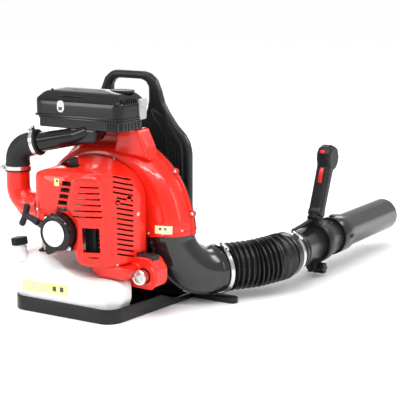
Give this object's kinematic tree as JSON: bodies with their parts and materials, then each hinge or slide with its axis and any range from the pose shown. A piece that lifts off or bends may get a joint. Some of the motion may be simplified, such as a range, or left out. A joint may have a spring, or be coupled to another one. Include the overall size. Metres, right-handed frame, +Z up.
{
  "type": "backpack leaf blower",
  "caption": "Petrol backpack leaf blower: finned engine under a louvred cover, spiral fan case, bellows hose, air tubes with a throttle grip, tank and carrying frame.",
  "frame": {"origin": "on the ground under the back frame, on the machine's centre line", "axes": "+Z up; +Y away from the engine towards the wearer and along the air tube; +X towards the air tube"},
  "size_m": [0.5295, 0.996, 0.491],
  "materials": {
    "frame": "moulded, fine grain",
    "base": "moulded, fine grain",
    "pad": "woven cover over foam",
    "webbing": "woven webbing",
    "buckle": "moulded",
    "isolator": "moulded rubber",
    "red_shell": "glossy moulded",
    "rear_shell": "moulded",
    "fan": "moulded",
    "screw": "zinc plated",
    "engine_alloy": "cast",
    "engine_steel": "machined",
    "ceramic": "glazed",
    "coil": "potted",
    "boot": "moulded rubber",
    "muffler_steel": "pressed",
    "exhaust": "bright",
    "starter": "satin, bevelled rim",
    "handle": "moulded",
    "rope": "braided cord",
    "tank": "milky, slightly translucent",
    "cap": "ribbed",
    "fuel_hose": "amber",
    "grommet": "moulded rubber",
    "cleaner": "glossy",
    "filter": "pleated paper",
    "latch": "satin grey",
    "duct": "glossy",
    "rubber_boot": "matte",
    "clamp_band": "bright steel band",
    "elbow": "satin",
    "hose": "pleated rubber",
    "tube": "glossy",
    "grip": "moulded",
    "red_control": "glossy",
    "conduit": "sleeve"
  },
  "bodies": {
    "blower": {"base_plate": "base", "foot_bar": "base", "back_frame": "frame", "back_pad": "pad", "shoulder_straps": "webbing", "strap_buckles": "buckle", "isolator_mounts": "isolator", "volute_front": "red_shell", "volute_rear": "rear_shell", "shell_screws": "screw", "crankcase": "engine_alloy", "crank_bearings": "engine_steel", "cylinder": "engine_alloy", "spark_plug": "ceramic", "plug_boot": "boot", "ignition_coil": "coil", "carburettor": "engine_alloy", "intake_horn": "red_shell", "muffler": "muffler_steel", "exhaust_pipe": "exhaust", "muffler_guard": "red_shell", "engine_cover": "red_shell", "starter_housing": "starter", "recoil_spring": "engine_steel", "fuel_tank": "tank", "fuel_grommet": "grommet", "fuel_line": "fuel_hose", "cleaner_case": "cleaner", "filter_element": "filter", "cleaner_bracket": "red_shell", "cleaner_duct": "duct", "rubber_elbow": "rubber_boot", "hose_clamps": "clamp_band", "outlet_elbow": "elbow", "hose_rear": "hose"},
    "rotor": {"crankshaft": "engine_steel", "flywheel": "engine_alloy", "fan_impeller": "fan"},
    "piston": {"piston": "engine_alloy"},
    "rod": {"connecting_rod": "engine_steel"},
    "pulley": {"starter_pulley": "handle"},
    "pull": {"pull_handle": "handle", "starter_rope": "rope"},
    "cap": {"tank_cap": "cap"},
    "lid": {"cleaner_lid": "cleaner"},
    "latch_left": {"latch_left": "latch"},
    "latch_right": {"latch_right": "latch"},
    "choke": {"choke_lever": "handle"},
    "hose_ring": {"hose_ring": "hose"},
    "tube": {"hose_front": "hose", "tube_clamp": "clamp_band", "control_tube": "tube", "handle_clamp": "grip", "cable_conduit": "conduit", "control_grip": "grip"},
    "end": {"end_tube": "tube"},
    "knob": {"clamp_knob": "handle"},
    "trigger": {"trigger": "red_control"},
    "lockout": {"lockout_lever": "red_control"},
    "switch": {"stop_switch": "red_control"}
  },
  "joints": [
    {"name": "crank_spin", "type": "hinge", "parent": "blower", "child": "rotor", "pos_m": [0, -0.2, 0.178], "axis": [0, 1, 0], "continuous": true},
    {"name": "piston_slide", "type": "slide", "parent": "blower", "child": "piston", "axis": [0, 0, 1], "range_m": [-0.034, 0]},
    {"name": "rod_swing", "type": "hinge", "parent": "piston", "child": "rod", "pos_m": [0, -0.2, 0.255], "axis": [0, 1, 0], "range_deg": [-14, 14]},
    {"name": "pull_start", "type": "slide", "parent": "blower", "child": "pull", "axis": [-0.9401, 0, 0.341], "range_m": [0, 0.8], "stiffness_N_per_m": 4, "springref_m": -0.05, "deforming": ["starter_rope"]},
    {"name": "pulley_spin", "type": "hinge", "parent": "blower", "child": "pulley", "pos_m": [0, -0.27, 0.178], "axis": [0, 1, 0], "continuous": true},
    {"name": "cap_turn", "type": "hinge", "parent": "blower", "child": "cap", "pos_m": [-0.12394, -0.247, 0.13479], "axis": [-0.14, 0, 0.9901], "range_deg": [0, 330]},
    {"name": "lid_lift", "type": "slide", "parent": "blower", "child": "lid", "axis": [0, 0, 1], "range_m": [0, 0.08]},
    {"name": "latch_left_swing", "type": "hinge", "parent": "blower", "child": "latch_left", "pos_m": [-0.123, -0.113, 0.404], "axis": [0, -1, 0], "range_deg": [0, 80]},
    {"name": "latch_right_swing", "type": "hinge", "parent": "blower", "child": "latch_right", "pos_m": [0.103, -0.113, 0.404], "axis": [0, 1, 0], "range_deg": [0, 80]},
    {"name": "choke_turn", "type": "hinge", "parent": "blower", "child": "choke", "pos_m": [-0.076, -0.2204, 0.218], "axis": [0, -1, 0], "range_deg": [-20, 20]},
    {"name": "tube_swing", "type": "hinge", "parent": "blower", "child": "hose_ring", "pos_m": [0.252, 0.097, 0.071], "axis": [0, 0, 1], "range_deg": [-25, 25], "deforming": ["hose_rear"]},
    {"name": "tube_lift", "type": "hinge", "parent": "hose_ring", "child": "tube", "pos_m": [0.252, 0.097, 0.071], "axis": [1, 0, 0], "range_deg": [0, 35], "deforming": ["hose_front"]},
    {"name": "end_twist", "type": "hinge", "parent": "tube", "child": "end", "pos_m": [0.285, 0.42, 0.079], "axis": [0, 1, 0], "range_deg": [0, 20]},
    {"name": "knob_turn", "type": "hinge", "parent": "tube", "child": "knob", "pos_m": [0.285, 0.325, 0.019], "axis": [1, 0, 0], "continuous": true},
    {"name": "trigger_pull", "type": "hinge", "parent": "tube", "child": "trigger", "pos_m": [0.285, 0.37605, 0.23933], "axis": [-1, 0, 0], "range_deg": [0, 10], "stiffness_Nm_per_rad": 0.5, "springref_deg": -11.46},
    {"name": "lockout_press", "type": "hinge", "parent": "tube", "child": "lockout", "pos_m": [0.285, 0.35936, 0.24607], "axis": [1, 0, 0], "range_deg": [0, 5], "stiffness_Nm_per_rad": 0.4, "springref_deg": -11.46},
    {"name": "switch_slide", "type": "slide", "parent": "tube", "child": "switch", "axis": [0, 0.3746, 0.9272], "range_m": [0, 0.004]}
  ],
  "couplings": [
    {"joint": "pulley_spin", "follows": "pull_start", "rad_per_m": 41.7}
  ]
}
